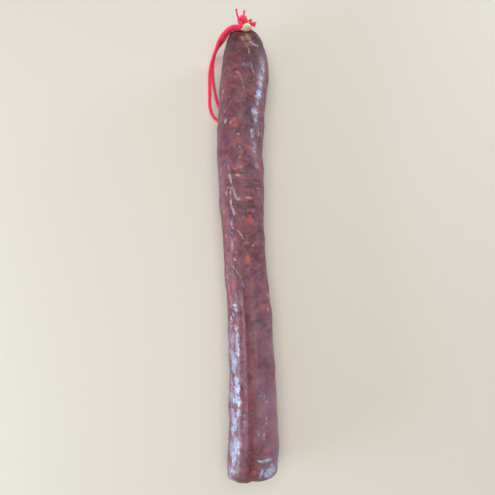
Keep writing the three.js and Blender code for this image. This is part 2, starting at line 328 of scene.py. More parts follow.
# %% Places of the ends
STRING_ENDS = {  # points, each with the string's thickness there
    "string_end_left": [
        [-7.4, 222.8, 31.2, 2.2], [-8.4, 225, 31.6, 2.2], [-9.4, 227.1, 32.3, 2.1],
        [-10, 229.6, 33, 2], [-10.4, 232.4, 33.5, 2.4],
    ],
    "string_end_middle": [
        [-3.2, 226.2, 31, 2], [-2.8, 228, 31.6, 1.9], [-2.5, 229.4, 32.4, 2], [-2.3, 231, 33.3, 2.3],
    ],
    "string_end_right": [
        [0, 221, 31.4, 1.8], [1.3, 221.2, 31.6, 1.7], [2.8, 221.2, 31.8, 1.8],
        [4.1, 221.8, 31.6, 3], [5, 222.1, 31.4, 2.3],
    ],
    "string_end_tuft": [
        [3, 216.9, 34.2, 2.2], [4.4, 216.3, 34.7, 2.6], [5.6, 215.8, 34.8, 2.8], [6.4, 215.5, 34.7, 2.2],
    ],
}
TUFT_PLIES = [  # the yarns that have come apart, each from the tuft's root to its own tip
    [[4.6, 216.2, 35, 1.5], [6.4, 216, 35.4, 1.7], [7.8, 216.4, 35, 1.8], [9, 216.8, 34.6, 1.5]],
    [[4.8, 215.8, 34.6, 1.5], [6.4, 215.2, 34.9, 1.8], [7.6, 215, 34.6, 1.8], [8.6, 215.1, 34.1, 1.5]],
    [[4.6, 215.6, 34.2, 1.4], [5.8, 214.8, 34.4, 1.8], [6.9, 214.2, 34, 1.8], [7.9, 213.5, 33.5, 1.5]],
]
print("cut ends:", len(STRING_ENDS))

# %% Fibres
chance = np.random.default_rng(7)
NEEDLE_RINGS, NEEDLE_SIDES = 5, 3
DROOP, SPRAY = 0.35, 0.42
HAIRS_AT_TIP, HAIRS_ON_PLY = 40, 60


def fibres(roots, ways, lengths, thickness=0.035):
    """Three-sided needles: root + way length t + droop t2, thinning to a point."""
    count = len(roots)
    t = np.linspace(0, 1, NEEDLE_RINGS)[None, :, None]
    droop = chance.normal(0, DROOP, (count, 3)) * lengths[:, None]
    lines = roots[:, None] + ways[:, None] * lengths[:, None, None] * t + droop[:, None] * t**2
    across = unit(np.cross(ways, chance.normal(size=(count, 3))))[:, None, None]
    other = unit(np.cross(ways, across[:, 0, 0]))[:, None, None]
    corner = np.arange(NEEDLE_SIDES)[:, None] * 2 * np.pi / NEEDLE_SIDES
    rings = lines[:, :, None] + thickness * (1.03 - t)[..., None] * (
        across * np.cos(corner) + other * np.sin(corner)
    )
    points_each = NEEDLE_RINGS * NEEDLE_SIDES
    ends = np.array([[0, 1, 2], [points_each - 3, points_each - 1, points_each - 2]])
    by = (np.arange(count) * points_each)[:, None, None]
    faces = (ring_faces(NEEDLE_RINGS, NEEDLE_SIDES) + by).reshape(-1, 4)
    return rings.reshape(-1, 3), faces, (ends + by).reshape(-1, 3)


def cut_end(rows, hairs):
    """A tapering bit of string with the fibres that spray from its tip."""
    line, _ = even(spline(rows, 300), 60)
    parts, yarn = string_part(line[:, :3], line[:, 3] / 2, around=24, lay=5.2)
    spray = unit(unit(line[-1, :3] - line[-8, :3]) + chance.normal(0, SPRAY, (hairs, 3)))
    roots = line[-3, :3] + chance.normal(0, line[-1, 3] / 6, (hairs, 3))
    needles = fibres(roots, spray, chance.uniform(0.6, 1.6, hairs))
    return join([parts, needles]), np.vstack([yarn, 0 * needles[0]])


end_pieces = []
for name, rows in STRING_ENDS.items():
    bits = [cut_end(rows, HAIRS_AT_TIP)]
    if name == "string_end_tuft":
        bits += [cut_end(ply, HAIRS_ON_PLY) for ply in TUFT_PLIES]
    end_pieces.append(string_piece(name + "_string", bits, name))

# %% [markdown]
# ## Fuzz
#
# Soft string is never clean-edged. Fifteen hundred short hairs stand off the loop and blur its
# outline, as in the photograph.

# %% Fuzz on the loop
FUZZ = 1500
ROOT_SHARE = 0.40  # how far out the hairs start, in string thicknesses
LEAN = 0.9

ring = chance.integers(5, LOOP_RINGS - 5, FUZZ)
way = unit(loop_path[ring + 1] - loop_path[ring - 1])
out = unit(np.cross(way, chance.normal(size=(FUZZ, 3))))
fuzz_roots = loop_path[ring] + out * STRING * ROOT_SHARE
fuzz_ways = unit(out + way * chance.normal(0, LEAN, (FUZZ, 1)))
fuzz_lengths = chance.uniform(0.4, 1.1, FUZZ)
needles = fibres(fuzz_roots, fuzz_ways, fuzz_lengths, 0.028)
needles[0][:, 2] = np.maximum(needles[0][:, 2], 0.05)
fuzz = string_piece("string_fuzz", [(needles, 0 * needles[0])])

# %% [markdown]
# ## The form of the sausage
#
# The casing was filled, tied and dried. A table of named sizes gives the middle line, the width and
# the height along the body, and superellipses round off the ends: what is left of the size at share
# s of the way out is (1 - s^p)^(1/p). A high power p makes a square end, a power near 2 a round
# dome. Past the tie a short spline carries the casing up and folds it forward. Its foot is a little
# fuller than in the solid, so that no gap shows under the string.

# %% Sections
BODY = [  # along, aside, width, height
    [-201, 5.5, 45.4, 40], [-176, 6.4, 45.2, 41], [-131, 5.4, 42.8, 40.4], [-86, 3.8, 41.6, 40],
    [-51, 1.2, 41, 39.6], [-9, -2.2, 39.8, 38.8], [24, -4, 42, 40], [59, -5.5, 44.8, 42],
    [94, -6.3, 45.4, 43.2], [131, -5.1, 46.6, 44.2], [165, -1.8, 48.2, 45.2],
]
RESTING_SINK = 1.0
BLUNT_LENGTH, BLUNT_SQUARE, BLUNT_ROUND, BLUNT_DROOP, BLUNT_SLANT = 14, 5, 2.6, 0.14, 0.1
DOME_LENGTH, DOME_SQUARE, DOME_ROUND = 48.2, 1.8, 1.8
DOME_RISE, DOME_TILT, DOME_BEND, DOME_LAST = 5.5, 25, 5.6, 79
SHOULDER_SHARE, SHOULDER_SQUARE, SHOULDER_ASIDE, SHOULDER_BEND = 0.47, 10, -4.2, 8.7
NECK_ASIDE = 0.3
NECK = [  # along, up, width, height, tilt
    [213.4, 28.2, 13, 6.6, 46], [213.9, 29.9, 7.4, 5.6, 68], [214.2, 32.2, 4.7, 4.7, 88],
    [213.8, 33.9, 5.8, 4.9, 110], [212.5, 35.4, 7.6, 5, 134], [210.9, 36.1, 9, 5.5, 160],
    [209.3, 35.8, 9.6, 5.6, 186],
]
STUB_TIP = [207.5, 34.7, 204]


def rounding(s, power):
    """What is left of the full size at share s of the way out to a rounded end."""
    return np.clip(1 - s**power, 0, None) ** (1 / power)


def smooth(start, stop, x):
    """0 before start, 1 after stop, and 3f2 - 2f3 between."""
    f = np.clip((x - start) / (stop - start), 0, 1)
    return f * f * (3 - 2 * f)


def table(along, aside, up, half_width, half_height, tilt):
    """Columns of one stretch, each spread to the stretch's length."""
    columns = np.broadcast_arrays(along, aside, up, half_width, half_height, tilt)
    return np.stack(columns, axis=1).astype(float)


first, last = BODY[0], BODY[-1]
s = np.sin(np.linspace(np.pi / 2, 0, 1501)[1:-1])
tall = rounding(s, BLUNT_ROUND)
blunt_up = (first[3] / 2 - RESTING_SINK) * (1 - BLUNT_DROOP * (1 - tall))
blunt = table(
    first[0] - BLUNT_LENGTH * s, first[1], blunt_up,
    first[2] / 2 * rounding(s, BLUNT_SQUARE), first[3] / 2 * tall, 0,
)
along, aside, width, height = spline(BODY, 1500).T
body = table(along, aside, height / 2 - RESTING_SINK, width / 2, height / 2, 0)
s = np.sin(np.radians(np.linspace(0, DOME_LAST, 1001)[1:]))
shoulders = (1 - SHOULDER_SHARE) * rounding(s, DOME_SQUARE)
shoulders = shoulders + SHOULDER_SHARE * rounding(s, SHOULDER_SQUARE)
dome = table(
    last[0] + DOME_LENGTH * s, last[1] + (SHOULDER_ASIDE - last[1]) * s**SHOULDER_BEND,
    last[3] / 2 - RESTING_SINK + DOME_RISE * s**DOME_BEND,
    last[2] / 2 * shoulders, last[3] / 2 * rounding(s, DOME_ROUND), DOME_TILT * s**DOME_BEND,
)
neck_rows = np.insert(NECK, 1, NECK_ASIDE, axis=1) * [1, 1, 1, 0.5, 0.5, 1]
neck = spline(np.vstack([dome[-1], neck_rows]), 1001)[1:]
f = np.sin(np.linspace(0, np.pi / 2, 400)[1:-1])
stub = neck[-1]
left_over = np.sqrt(1 - f * f)
tip = table(
    stub[0] + (STUB_TIP[0] - stub[0]) * f, NECK_ASIDE, stub[2] + (STUB_TIP[1] - stub[2]) * f,
    stub[3] * left_over, stub[4] * left_over, stub[5] + (STUB_TIP[2] - stub[5]) * f,
)
stretches = [blunt, body, dome, neck, tip]
dense = np.vstack(stretches)
order = np.repeat(np.arange(5.0), [len(part) for part in stretches])
order[order == 3] = np.linspace(3, 4, len(neck))
print("sections before resampling:", len(dense))

# %% [markdown]
# ## Even sections, and where each one faces
#
# A section stands across the middle line. On the body it turns with the slack bend, seen from
# above, and on the neck it tilts in the upright plane. Equal steps over the surface keep the faces
# close to square.

# %% Resample
RINGS, AROUND = 560, 174

rows, _ = even(np.column_stack([dense, order]), RINGS, columns=[0, 2, 3, 4])
along, aside, up, half_width, half_height, tilt, stretch = rows.T
on_body = 1 - smooth(159, 199, along)
turn = np.arctan2(np.gradient(aside), np.abs(np.gradient(along)) + 1e-9) * on_body
right = np.stack([np.cos(turn), -np.sin(turn), 0 * turn], axis=1)[:, None]
lift = np.stack([0 * tilt, -np.sin(np.radians(tilt)), np.cos(np.radians(tilt))], axis=1)[:, None]
middle = np.stack([aside, along, up], axis=1)[:, None]
angle = np.linspace(0, 2 * np.pi, AROUND, endpoint=False)[None, :]
degrees = np.degrees(angle)
on_neck = smooth(2.0, 2.4, stretch)[:, None]
print("rings", RINGS, "points round each", AROUND)

# %% [markdown]
# ## Noise without a texture
#
# The small unevenness of the skin has to be in the mesh, not only in its shading. Value noise does
# it: random numbers on a cubic lattice, blended with the smooth curve 3f2 - 2f3 between the eight
# corners around each point. Finer and weaker copies on top give the mixed lumps of chopped meat and
# fat under a thin skin.

# %% Value noise
LATTICE_SIDE = 64
LATTICE = chance.uniform(-1, 1, [LATTICE_SIDE] * 3)


def lumps(points, size, stretch_along=1.0, seed=0):
    """Smooth random values, about size mm apart, longer along the sausage by the given factor."""
    place = points / (size * np.array([1, stretch_along, 1])) + seed * 7.31 + 200
    cell = np.floor(place).astype(int)
    f = place - cell
    f = f * f * (3 - 2 * f)
    total = 0
    for corner in np.ndindex(2, 2, 2):
        index = (cell + corner) % LATTICE_SIDE
        weight = np.prod(np.where(corner, f, 1 - f), axis=-1)
        total = total + weight * LATTICE[index[..., 0], index[..., 1], index[..., 2]]
    return total


print("lattice:", LATTICE.size)

# %% [markdown]
# ## Relief
#
# What dried unevenly shows as relief: slow lumps, a fold with a flat facet beside it down the lower
# half, a dent in the blunt end, and pleats near the neck, all the same as in the frame's solid. On
# top come the things only a fine mesh can hold: dimples between the pieces of fat, a few creases
# across, gathers, and the crest of the fold as a thin raised cord.

# %% Slow relief
LUMPS = [  # depth, length, phase, wander, harmonic
    [0.32, 9.7, 1.3, 2, 1], [0.24, 5.9, 0.5, 3, 2], [0.18, 3.7, 2.1, 2, 3],
]
FOLD_PARTS = [[0.6, 0, 5], [-1.3, -13, 9], [-1.3, 42, 17]]  # depth, degrees after the crest, spread
CREST_LOW, CREST_HIGH = 104, 126  # where the fold's crest runs, in degrees
PLEAT_COUNT, PLEAT_DEPTH, PLEAT_ON_NECK, PLEAT_PHASE = 8, 0.45, 0.12, 0.6


def bell(offset, spread):
    """exp(-(offset / spread)^2)."""
    return np.exp(-((offset / spread) ** 2))


y = along[:, None]
slow = sum(
    depth * np.sin(y / length + wander * np.sin(harmonic * angle + phase))
    for depth, length, phase, wander, harmonic in LUMPS
) * (1 - smooth(last[0], last[0] + DOME_LENGTH, y))
fold_strength = (smooth(100, 40, y) + smooth(40, -60, y)) / 2
crest = CREST_LOW + (CREST_HIGH - CREST_LOW) * smooth(-20, 95, y)
fold = sum(depth * bell(degrees - crest - after, spread) for depth, after, spread in FOLD_PARTS)
dent = -1.6 * bell(degrees - 88, 17) * smooth(-184, -208, y)
pleats = np.cos(PLEAT_COUNT * angle + PLEAT_PHASE)
relief_body = slow + fold_strength * fold + dent + PLEAT_DEPTH * smooth(188, 207, y) * pleats
coarse = np.where(on_neck > 0.5, PLEAT_ON_NECK * pleats, relief_body)
print("slow relief up to", round(coarse.max(), 2), "mm")

# %% Fine relief
FINE_LUMPS = [  # depth, size, stretch along, seed
    [0.22, 7, 1.1, 1], [0.20, 3.6, 1.2, 2], [0.10, 1.8, 1.4, 3],
]
CREASES = [  # along, angle, slope, half length in degrees, depth, width
    [-188, 52, 0.05, 26, -0.9, 2.4], [-32.5, 62, -0.13, 30, -0.6, 1.2], [96, 70, -0.05, 24, -0.25, 1.4],
    [-60, 48, 0.10, 20, -0.3, 1.5], [40, 118, -0.12, 22, -0.25, 1.4], [-120, 60, 0.1, 16, -0.3, 1.5],
]
CORD_HEIGHT, CORD_WANDER, CORD_SPREAD = 0.35, 2.5, 1.5
GATHER_DEPTH, GATHERS, GATHER_WANDER = 0.28, 9.5, 1.7

round_way = right * np.cos(angle)[..., None] + lift * np.sin(angle)[..., None]
plain = middle + (
    right * (half_width[:, None] * np.cos(angle))[..., None]
    + lift * (half_height[:, None] * np.sin(angle))[..., None]
)
skin_body = (1 - on_neck) * smooth(-216, -205, y)
fine = sum(depth * lumps(plain, *how) for depth, *how in FINE_LUMPS)
creases = sum(
    depth * bell(y - at - slope * (degrees - mid), width) * bell(degrees - mid, half)
    for at, mid, slope, half, depth, width in CREASES
)
crest_line = bell(degrees - crest + CORD_WANDER * lumps(plain, 12, 2, 5), CORD_SPREAD)
ridge_cord = CORD_HEIGHT * crest_line * smooth(-20, -66, y) * smooth(-180, -150, y)
pinch = np.abs(np.sin(GATHERS * angle + GATHER_WANDER * lumps(plain, 12, 1, 6)))
gathers = GATHER_DEPTH * pinch * smooth(182, 206, y)
out = coarse + skin_body * (fine + creases + ridge_cord - gathers)
out = out + on_neck * 0.06 * lumps(plain, 1.6, 1, 7)
out = out * np.minimum(1, half_height / 6)[:, None]
print("relief from", round(out.min(), 2), "to", round(out.max(), 2), "mm")

# %% [markdown]
# ## The skin
#
# The relief moves each point of the plain sections outwards. The dome's edge swells a little on
# both sides of the stub, the blunt end leans by its slant, and nothing goes below the table, which
# leaves the narrow flat on which the sausage rests.

# %% Skin points
SWELL = [[1.7, -9.5, 6.5], [1.5, 7, 4.5]]  # how far, aside, spread

surface = plain + round_way * out[..., None]
swell = sum(far * bell(plain[..., 0] - at, spread) for far, at, spread in SWELL)
surface[..., 1] += swell * smooth(201, 210, plain[..., 1]) * (stretch < 2.5)[:, None]
at_end = (1 - smooth(-219, -189, along))[:, None]
surface[..., 1] += BLUNT_SLANT * (surface[..., 0] - first[1]) * at_end
surface[..., 2] = np.maximum(surface[..., 2], 0)
blunt_pole = surface[0].mean(axis=0)
stub_pole = surface[-1].mean(axis=0)
print("skin spans", np.round(np.ptp(surface.reshape(-1, 3), axis=0), 1), "mm")

# %% [markdown]
# ## Marks that have a place
#
# Some marks are landmarks: lumps of orange fat, some with a yellow middle, dark spots of lean meat
# and pepper with a few broad soft ones of painted shade, small pale bits, and patches where the
# casing has lifted and gone milky, their pale blue partly a painted highlight. They are listed by
# place, as seen from above. A spot is a soft ellipse whose edge is ruffled with noise.
# The side that doesn't show gets spots of the same kinds at random places.

# %% Placing spots
R_SKIN = 21.5  # mean radius, to turn angles into lengths round the section
not_stub = stretch < 2.2


def angle_at(x, at_y):
    """The angle on the upper side of the section at at_y whose sideways place is x."""
    centre = np.interp(at_y, along[not_stub], aside[not_stub])
    half = np.interp(at_y, along[not_stub], half_width[not_stub])
    return np.arccos(np.clip((x - centre) / half, -1, 1))


skin_y = surface[..., 1]
ruffle = lumps(surface, 2.6, 1, 8) + 0.6 * lumps(surface, 1.2, 1, 9)


def spots(marks, edge=0.60, ragged=0.42):
    """The largest of soft ellipses given by angle, y, two half sizes and strength inside."""
    mask = np.zeros_like(skin_y)
    for turn_at, at_y, half_round, half_along, strength in marks:
        across = ((angle - turn_at + np.pi) % (2 * np.pi) - np.pi) * R_SKIN
        distance = np.hypot(across / half_round, (skin_y - at_y) / half_along) + ragged * ruffle
        mask = np.maximum(mask, strength * smooth(1 + edge, 1 - edge, distance))
    return mask * (1 - on_neck)


def placed(marks):
    """Marks given by their sideways place x, with the angle worked out."""
    return [[angle_at(x, at_y), at_y, a, b, strength] for x, at_y, a, b, strength in marks]


def strewn(count, small, large, seed):
    """Random marks on the side that is turned to the table."""
    draw = np.random.default_rng(seed)
    turns = draw.uniform(np.radians(185), np.radians(355), count)
    sizes = draw.uniform(small, large, (count, 2)) * [1, 1.2]
    places = draw.uniform(-205, 195, count)
    return np.column_stack([turns, places, sizes, draw.uniform(0.5, 1, count)]).tolist()


print("skin points:", skin_y.size)

# %% Spots of fat
ORANGE = [  # x, y, half size round, half size along, strength
    [-15, 158, 3, 2.2, 0.5], [-9.5, 155, 3, 2.5, 0.8], [-13, 146, 2.6, 2.4, 0.7], [4, 141, 3.6, 2.6, 0.8],
    [-0.5, 136, 3, 2, 0.5], [-21, 154, 2, 2, 0.5], [-23, 137, 2, 3, 0.8], [-7, 130, 3.2, 1.4, 0.6],
    [-1.5, 123, 2.4, 2, 0.7], [-12, 112, 3.4, 2.4, 1], [-11.5, 107, 3.2, 2.4, 1], [10, 114, 3, 1.6, 0.8],
    [16, 141, 1.6, 2, 0.8], [-14.5, 181, 4.5, 1.6, 0.5], [14, 102, 2, 2.6, 0.9], [-8.5, 92, 5, 3.4, 0.6],
    [-12, 88, 2.4, 2.4, 0.6], [2, 86, 4.4, 2.6, 1], [-5, 80, 2.2, 4, 0.7], [-8, 67, 5, 2.6, 1],
    [10.5, 70, 4, 3.4, 0.8], [-25, 65, 2.6, 5, 0.9], [0, 56, 3, 1.4, 0.6], [0.5, 45, 3.4, 1.4, 0.6],
    [-3.5, 43, 2, 1.4, 0.4], [12.5, 44, 2.4, 2, 0.7], [-21, 26, 2.4, 2, 0.9], [-5, 26, 2.4, 1.6, 0.6],
    [2.5, 18, 4.2, 4, 1], [-2.5, 19, 2.2, 1.6, 0.8], [3.5, 7, 4, 2.6, 0.6], [-20.5, 2, 1.8, 4, 1],
    [-10.5, 0, 2.4, 2, 0.9], [1.5, -4, 3.6, 1.2, 0.8], [8.5, -4, 4, 1.2, 0.8], [14.5, -2, 2, 1.6, 0.8],
    [-17.5, -19, 2, 5, 0.7], [1.5, -19, 3.8, 2.6, 1], [1, -29, 2, 2, 0.7], [-11.5, -42, 2.4, 4, 0.8],
    [-17, -48, 1.8, 5, 0.9], [2.5, -41, 3, 3, 0.5], [6, -43, 2, 3, 0.7], [14.5, -62, 4.6, 1.8, 1],
    [9.5, -66, 3, 2, 0.6], [-8, -80, 2, 2.6, 0.8], [5, -121, 2, 3, 0.7], [4, -136, 3, 4, 0.7],
    [22, -117, 2, 3, 0.6], [24, -98, 1.6, 5, 0.6], [20, -52, 2.6, 3, 0.7], [19.5, -64, 2.6, 3, 0.7],
    [13.5, -101, 2, 2, 0.5], [12, -154, 3, 2.6, 0.8], [15, -149, 3, 3, 0.6], [17.5, -184, 3, 2.4, 0.9],
    [22.5, -168, 2.4, 6, 0.5], [-3.5, -179, 2.4, 3, 0.7], [6.5, -202, 2.6, 2, 1], [13.5, -165, 2, 2, 0.5],
    [-5, -147, 2, 6, 0.6],
]
YELLOW = [
    [-8, 98, 2.4, 1.6, 0.7], [-6.5, 76, 1.8, 1.6, 0.7], [-11, 65, 1.8, 1.2, 0.8], [-6, 67, 1.8, 1.2, 0.7],
    [-8, 59, 2.4, 1.4, 1], [2.5, 38, 3.6, 1.1, 1], [10.5, 48, 3.2, 0.9, 0.7], [-21, 26, 1.8, 1, 0.9],
    [-20, 4, 1.2, 2, 0.8], [-10.5, 0, 1.5, 1.4, 0.8], [5, -74, 1.5, 2.4, 0.5], [20.5, -53, 1.7, 2.2, 0.9],
    [19.5, -65, 1.7, 2, 0.9], [-7.5, -80, 1, 1.5, 0.9],
]
print("lumps of fat:", len(ORANGE) + len(YELLOW))

# %% Pale, dark and milky spots, with painted shade and painted highlight
PALE = [
    [-20.5, 113, 1.2, 2.8, 1], [-15.5, 110, 1.1, 2.4, 0.7], [-22.5, 144, 1, 1.8, 0.8],
    [-21.5, 123, 1, 2.4, 0.5], [-19.5, 70, 1.8, 1.4, 0.6], [-6, 86, 1.6, 1.2, 0.5],
    [-11, 24, 1.4, 3.2, 0.9], [-8, 37, 2.6, 0.9, 0.9], [7.5, 26, 2, 1.2, 0.6], [-19.5, 44, 1.2, 1.8, 0.8],
    [-11, -19, 1.6, 1.2, 0.8], [9, 53, 3, 0.9, 0.5], [6, -6, 1.4, 1, 0.6], [-13.5, 6, 1.2, 1.6, 0.6],
]
# Dark spots of lean meat and pepper; the last four, broad and soft, are painted shade over the top of the
# upper half and the right of the dome.
DARK_AND_SHADE = [
    [0, 78, 4.4, 1.8, 0.7], [-4.5, 86, 1.8, 1.8, 0.6], [-2, 61, 5.4, 1.4, 0.9],
    [-13.5, 61, 1.8, 2.6, 0.8], [7.5, 54, 2.6, 1.6, 0.6], [8.5, 44, 2.2, 1.8, 0.7], [5, 30, 5, 1.4, 0.8],
    [-5, 30, 4, 1.4, 0.6], [-12, 45, 1.2, 2, 0.7], [1.5, -8, 3, 2.4, 1], [5, -13, 6, 1.2, 0.6],
    [-0.5, -25, 3.2, 1.4, 0.7], [-6, -44, 5, 4, 0.5], [-3, -46, 2, 1.2, 0.9], [11.5, -75, 4.4, 4.6, 1],
    [19.5, -84, 2.8, 2, 1], [11, -93, 2.6, 2.6, 1], [18, -128, 2.2, 2.2, 1], [21, -139, 2, 2.6, 0.5],
    [11, -136, 3, 1.6, 0.5], [14, -56, 4, 3, 0.4], [-2, -70, 3, 3, 0.4], [16, -109, 2.8, 2.6, 0.8],
    [8, -158, 3, 8, 0.6], [-4, -167, 4, 3, 0.4], [-3.1, 204.3, 2.2, 1.8, 0.9], [7.1, 200.4, 3.4, 3, 0.9],
    [8.4, 203.2, 3, 3, 0.9], [-11.9, 200.2, 2.4, 2.4, 0.8], [5, 172, 9, 17, 0.62], [2, 122, 8, 20, 0.58],
    [13, 193, 6, 9, 0.65], [9, 180, 5, 8, 0.45],
]
# Milky lifted casing; its pale blue is partly painted highlight, set where the flanks mirror the windows.
MILKY_AND_HIGHLIGHT = [
    [-1, 167, 4, 2.6, 0.4], [17, 176, 1.6, 5, 0.3], [16, 166, 2, 5, 0.4], [14.5, 158, 2.4, 5, 0.5],
    [13.5, 149, 3.4, 5, 0.5], [12.5, 142, 3.6, 3.4, 0.9], [10, 137, 3.4, 1.6, 0.8],
    [10.5, 133, 1.4, 1.8, 0.7], [7, 122, 3.2, 3.6, 0.8], [8.5, 116, 2, 2, 0.5], [4.5, 102, 1.1, 2.6, 1],
    [6, 98, 1.4, 2, 0.8], [7, 91, 1.6, 2.6, 0.4], [11.5, 101, 1.4, 2, 0.6], [-13.5, -5, 1.2, 5, 0.5],
    [-9.5, -12, 1.2, 5, 0.4], [-11.5, -60, 2.6, 1.8, 1], [-10, -65, 2.4, 1.6, 0.6],
    [-13, -69, 2.2, 1.4, 0.9], [-15.5, -73, 1.2, 2, 1], [-10.5, -80, 2.6, 4, 0.7], [-8, -90, 2.4, 4, 0.6],
    [-8.5, -99, 3, 7, 0.65], [-11, -111, 4, 5, 0.9], [-12, -119, 3.4, 4, 0.8],
    [-9.5, -126, 3.8, 3.4, 0.9], [-9.5, -134, 4.4, 5, 0.9], [-9, -144, 5, 4.4, 0.9],
    [-7, -153, 2.6, 4, 0.7], [-10.5, -164, 3.6, 6, 0.8], [-13, -172, 2.6, 4, 0.6],
    [-10, -182, 4.6, 8, 0.9], [-12, -194, 4.4, 6, 0.8], [-13, -203, 3, 4, 0.7], [20.5, -202.5, 6, 5, 1],
    [13.5, -203, 3.4, 3.4, 0.8], [17.5, -192, 7, 1.1, 1], [17.5, -144, 3, 1, 0.5],
    [17.5, -159, 1, 4, 0.6], [15, -171, 1, 3, 0.6], [10.5, -169, 1, 2, 0.6], [-1.5, -158, 2, 10, 0.3],
    [13.5, -138, 6, 4, 0.3],
]
HIDDEN = {  # the spots, then how many hidden ones, least and most half size, and a seed
    "orange": (ORANGE, 60, 2, 4.2, 1), "yellow": (YELLOW, 22, 1, 2.2, 2),
    "pale": (PALE, 16, 1, 2.2, 3), "dark": (DARK_AND_SHADE, 34, 1.6, 4.2, 4),
    "lifted": (MILKY_AND_HIGHLIGHT, 26, 2, 5, 5),
}
masks = {kind: spots(placed(rows) + strewn(*how)) for kind, (rows, *how) in HIDDEN.items()}
print("masks so far:", *masks)

# %% [markdown]
# ## Lines
#
# A pale vein wanders down the upper half, others run out of the neck's folds, pale partly as painted
# highlight along the folds' ridges, pleats are tan or orange, and streaks of milky casing with painted
# highlight follow both flanks. Each is a list of points. Its mark fades with the distance from that
# line like a bell, and noise bends it, breaks it and changes its width.

# %% Lines on the skin
LINES = [  # kind, the line's points as x, y, then its half width and strength
    ("vein", [[-17.5, 77], [-16, 63], [-15.5, 57], [-14, 50], [-15, 39], [-14.5, 33], [-11, 24],
              [-13, 18], [-14, 14], [-12.5, 10], [-9, 9], [-4.5, 3], [-3, 0]], 0.72, 1.0),
    ("vein", [[-14, 50], [-12.5, 46], [-11, 42], [-10, 37], [-6.5, 37]], 0.8, 0.9),
    ("vein", [[-14.5, 49], [-17, 48], [-19, 44], [-19.5, 41]], 0.8, 0.8),
    # These two pale lines on the dome are folds of casing, pale partly as painted highlight along their
    # ridges.
    ("vein", [[-0.8, 207.5], [0, 202.9], [1.4, 199.6], [2.6, 196.1], [3.2, 193.1]], 1.9, 0.62),
    ("vein", [[2.6, 194.5], [5.3, 191.8], [8.2, 190.7], [10.9, 191]], 1.3, 0.9),
    ("vein", [[1.4, 187.5], [2, 183], [2.6, 178.2], [3.5, 173.7], [3.9, 168.3], [5.2, 163.5],
              [8, 156]], 0.8, 0.6),
    ("vein", [[-12, 159], [-10.5, 161], [-8, 159], [-6, 156], [-4.5, 151], [-3.5, 146],
              [-1.5, 141]], 0.7, 0.65),
    ("vein", [[-16.5, -30], [-14, -40], [-11.5, -49]], 0.45, 0.4),
    ("vein", [[-12, -26], [-8, -31], [-4.5, -37], [-2.5, -44]], 0.75, 0.65),
    ("orange", [[-5.2, 201], [-3.7, 196.2], [-1.2, 190.6], [1.4, 186.8]], 2.2, 0.9),
    ("neck", [[-4.7, 200.5], [-3.5, 196], [-1, 190.8], [0.8, 188.3]], 1.4, 0.85),
    ("neck", [[-0.8, 209], [0, 203.4], [1.2, 199.8]], 2, 0.75),
    ("orange", [[-15.6, 178.1], [-12.1, 180.1], [-8.2, 181]], 1.2, 0.6),
    # Painted highlight: the next two lines are streaks of milky casing where the flanks mirror the
    # windows.
    ("lifted", [[17.5, 182], [16, 166], [14.5, 154], [13, 143], [10, 132], [8.5, 120], [7, 106],
                [7, 92], [8, 84]], 2.4, 0.36),
    ("lifted", [[-19, -12], [-18.5, -30], [-17, -48], [-15, -62]], 1.8, 0.40),
    ("orange", [[-11.5, 207.6], [-8.5, 209.2], [-5.4, 210]], 1.6, 0.7),
    ("orange", [[3.6, 209], [6, 209.3]], 1.2, 0.6),
]
HALO_SHARE, HALO_WIDTH = 0.25, 2.4

wobble = 0.5 * lumps(surface, 3.0, 1, 10) + 0.35 * lumps(surface, 1.3, 1, 14)
broken = smooth(-0.6, 0.35, lumps(surface, 4.0, 1, 11))


def vein(points, width, strength):
    """strength times exp(-(distance to the line / width)^2), with a wider, weaker halo."""
    line = np.array([[angle_at(x, at_y) * R_SKIN, at_y] for x, at_y in points])
    here = np.stack([np.broadcast_to(angle * R_SKIN, skin_y.shape), skin_y], axis=-1)
    here = here + wobble[..., None]
    nearest = np.full(skin_y.shape, 1e9)
    for a, b in zip(line[:-1], line[1:]):
        f = np.clip(((here - a) @ (b - a)) / ((b - a) @ (b - a)), 0, 1)
        nearest = np.minimum(nearest, np.linalg.norm(here - a - f[..., None] * (b - a), axis=-1))
    width = width * (0.6 + 0.7 * broken)
    soft = (1 - HALO_SHARE) * bell(nearest, width) + HALO_SHARE * bell(nearest, HALO_WIDTH * width)
    return strength * soft * (0.4 + 0.6 * broken) * (1 - on_neck)


masks["vein"] = 0 * skin_y
neck_edge = half_width[:, None] + 1.6 * lumps(surface, 3.0, 1, 16) + 0.6 * np.sin(GATHERS * angle)
masks["neck"] = smooth(11.5, 5.5, neck_edge) * smooth(195, 205, along)[:, None]
for kind, *line in LINES:
    masks[kind] = np.maximum(masks[kind], vein(*line))
print("lines drawn:", len(LINES))

# %% [markdown]
# ## Marks that follow the form
#
# Other marks go with the form: a bluish painted highlight on the facet beside the fold, a pale
# painted highlight on its crest, wine-dark painted shade in the valley next to it and on the blunt
# end's underside, the darker dome, red freckles on the left flank, a lilac haze on the right one and
# on two patches of the left, and the stub, tan in front and on its left: its own colour, and on its
# lower front partly painted shade.
# Noise keeps them patchy.

# %% Marks of the form
RIGHT_HAZE = [  # strength, the angles and then the places between which it sets in
    [1, 100, 60, -30, -110], [0.8, 88, 58, -110, -165], [0.5, 65, 35, -130, -180],
]

patches = lumps(surface, 6.0, 1.5, 12) + 0.5 * lumps(surface, 2.6, 1.2, 13)
patchy = smooth(-0.35, 0.45, patches)
half_patchy = 0.4 + 0.6 * patchy
# Painted highlight: a bluish sheen on the facet where it mirrors the left window.
masks["bloom"] = bell(degrees - crest - 46, 24) * smooth(-35, -105, y) * (0.5 + 0.5 * patchy)
on_crest = smooth(-32, -66, y) * smooth(-190, -150, y)
# Painted highlight along the fold's crest.
masks["ridge"] = crest_line * on_crest * (0.35 + 0.65 * patchy)
masks["dome"] = smooth(160, 200, y) * np.ones_like(degrees)
